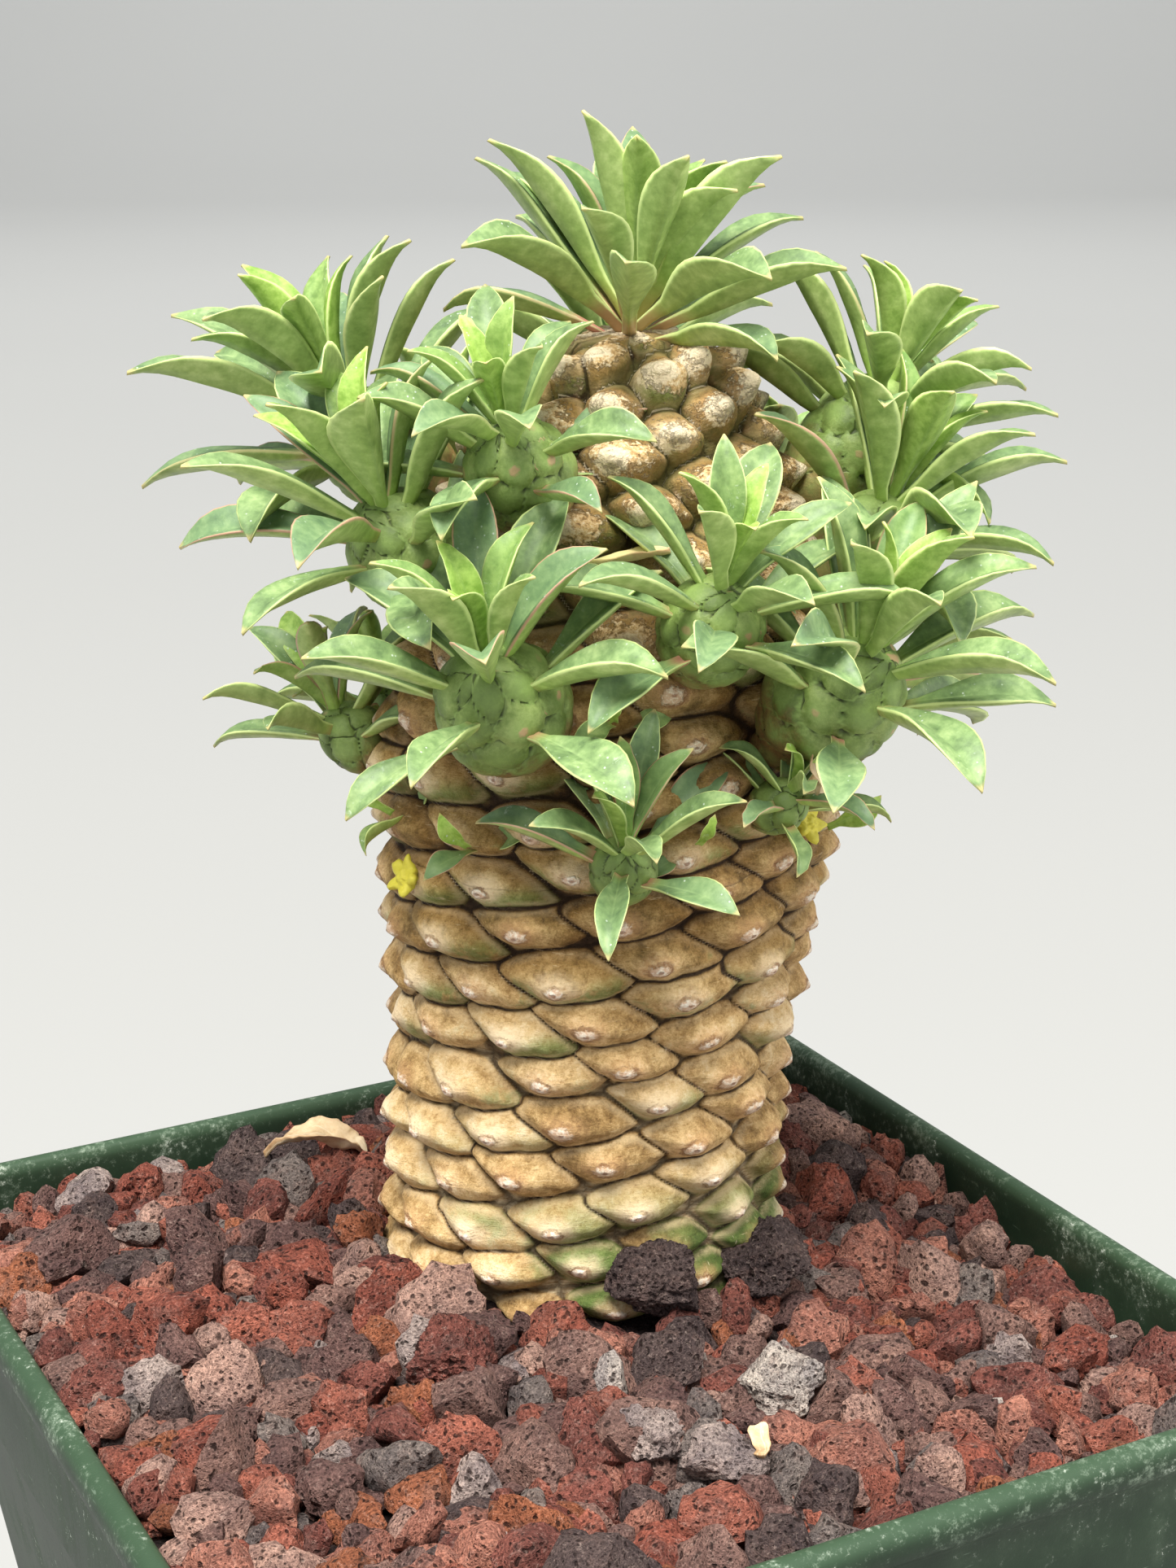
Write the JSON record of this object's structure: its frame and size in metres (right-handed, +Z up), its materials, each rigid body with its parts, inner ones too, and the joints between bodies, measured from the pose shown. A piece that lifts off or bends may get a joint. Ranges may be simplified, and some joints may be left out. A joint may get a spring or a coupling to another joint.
{
  "type": "potted euphorbia",
  "caption": "Succulent euphorbia with a thick knobbly corky stem, leafy crown and leafy side shoots, in a square green nursery pot topped with red lava gravel.",
  "frame": {"origin": "centre of the pot's flat base, on the surface that it stands on", "axes": "+Z up; X and Y along the sides of the square pot"},
  "size_m": [0.127, 0.127, 0.2474],
  "materials": {
    "pot_plastic": "dark green moulded polypropylene, satin, dusty",
    "potting_mix": "moist gritty soil mix",
    "lava_gravel": "porous red scoria, matte",
    "dark_lava": "porous dark purple-brown scoria, matte",
    "grey_lava": "pale grey pumice-like lava, matte",
    "bark": "dry tan corky skin with cream leaf scars",
    "shoot_skin": "smooth waxy green skin",
    "leaf": "waxy grey-green leaf with a pale edge",
    "young_leaf": "fresh green leaf",
    "flower": "yellow cyathium",
    "dying_leaf": "yellow leaf with a pink stalk",
    "withered_leaf": "dry papery leaf"
  },
  "bodies": {
    "root": {"pot": "pot_plastic", "potting_mix": "potting_mix", "gravel_bed": "lava_gravel", "stem": "bark", "stone_1": "dark_lava", "stone_2": "dark_lava", "stone_3": "grey_lava", "stone_4": "grey_lava", "stone_5": "grey_lava", "stone_6": "lava_gravel", "shoot_01_body": "shoot_skin", "shoot_01_leaves": "leaf", "shoot_02_body": "shoot_skin", "shoot_02_leaves": "leaf", "shoot_03_body": "shoot_skin", "shoot_03_leaves": "leaf", "shoot_04_body": "shoot_skin", "shoot_04_leaves": "leaf", "shoot_05_body": "shoot_skin", "shoot_05_leaves": "leaf", "shoot_06_body": "shoot_skin", "shoot_06_leaves": "leaf", "shoot_07_body": "shoot_skin", "shoot_07_leaves": "leaf", "shoot_08_body": "shoot_skin", "shoot_08_leaves": "leaf", "shoot_09_body": "shoot_skin", "shoot_09_leaves": "leaf", "shoot_10_body": "shoot_skin", "shoot_10_leaves": "leaf", "shoot_11_body": "shoot_skin", "shoot_11_leaves": "leaf", "shoot_12_body": "shoot_skin", "shoot_12_leaves": "leaf", "shoot_13_body": "shoot_skin", "shoot_13_leaves": "leaf", "shoot_14_body": "shoot_skin", "shoot_14_leaves": "leaf", "shoot_15_body": "shoot_skin", "shoot_15_leaves": "leaf", "shoot_16_body": "shoot_skin", "shoot_16_leaves": "leaf", "shoot_17_body": "shoot_skin", "shoot_17_leaves": "leaf", "crown_leaves": "leaf", "sprout_1": "young_leaf", "sprout_2": "young_leaf", "sprout_3": "young_leaf", "sprout_4": "young_leaf", "sprout_5": "young_leaf", "sprout_6": "young_leaf", "sprout_7": "young_leaf", "flower_1": "flower", "flower_2": "flower", "dying_leaf": "dying_leaf", "withered_leaf": "withered_leaf", "fallen_leaf_1": "withered_leaf", "fallen_leaf_2": "withered_leaf"}
  },
  "joints": []
}
